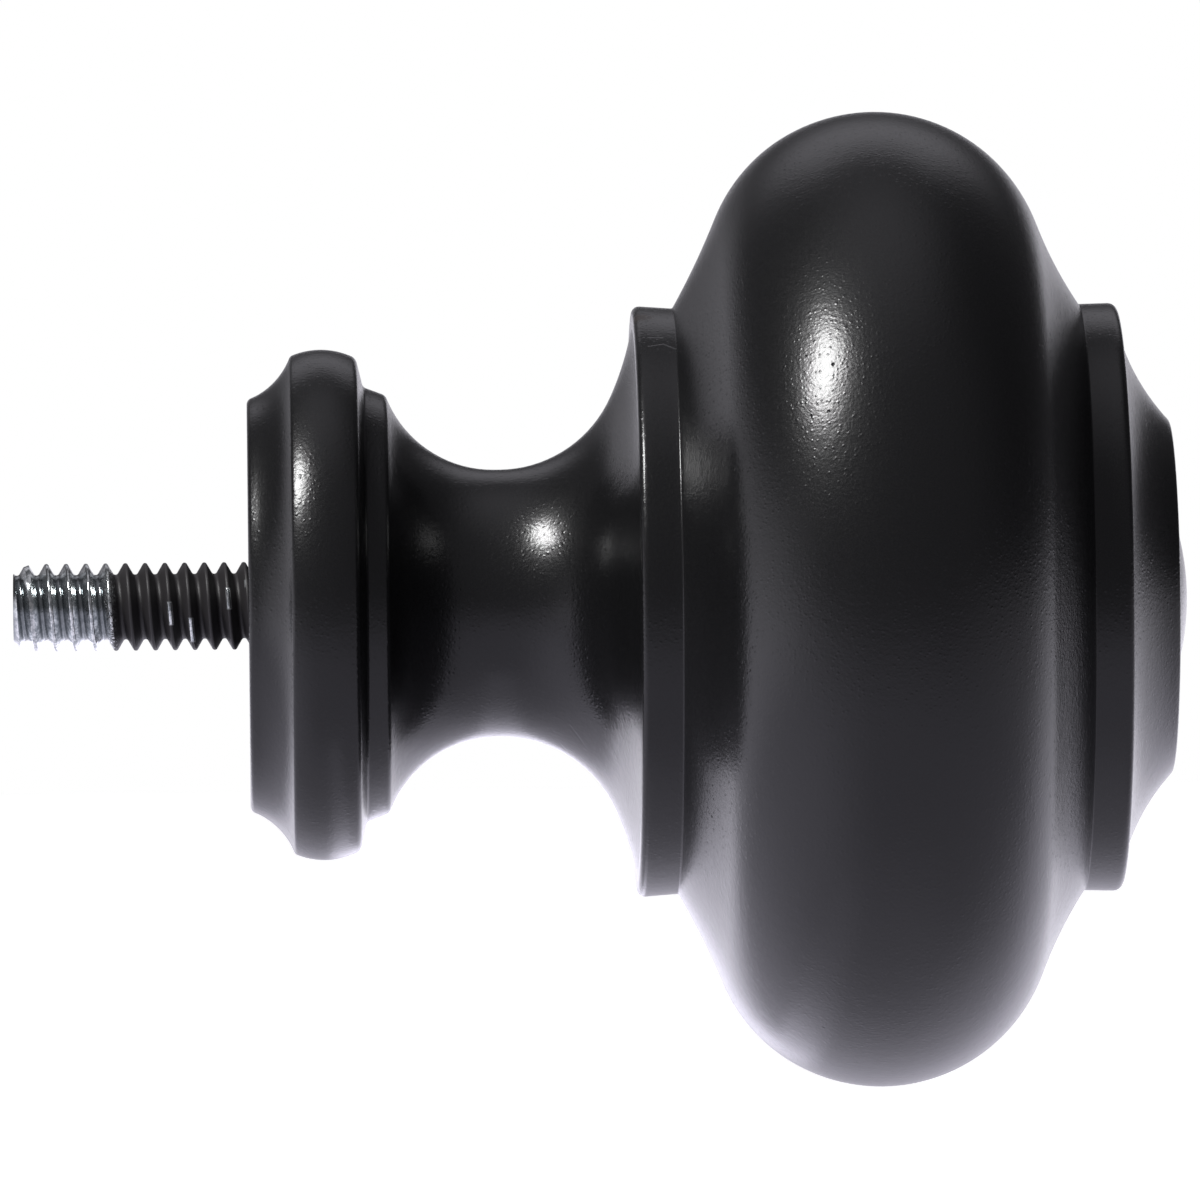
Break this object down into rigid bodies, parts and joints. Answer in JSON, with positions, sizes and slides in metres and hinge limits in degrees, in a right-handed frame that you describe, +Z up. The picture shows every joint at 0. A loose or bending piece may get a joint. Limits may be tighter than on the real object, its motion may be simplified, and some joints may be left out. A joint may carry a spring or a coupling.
{
  "type": "curtain pole finial",
  "caption": "Round satin black finial with a flattened ball head, stepped plates and a scotia neck, on a threaded stud that screws into the end of a curtain pole.",
  "frame": {"origin": "centre of the flat seat at the pole's end, where the stud leaves the body", "axes": "+X along the pole's axis outwards to the tip of the cap, +Z up; the stud points to -X"},
  "size_m": [0.063, 0.0524, 0.0524],
  "materials": {
    "satin_black_paint": "satin black paint with a light orange peel",
    "zinc_plated_steel": "bright zinc plate, black overspray on the half beside the body"
  },
  "bodies": {
    "root": {"finial_body": "satin_black_paint", "threaded_stud": "zinc_plated_steel"}
  },
  "joints": []
}
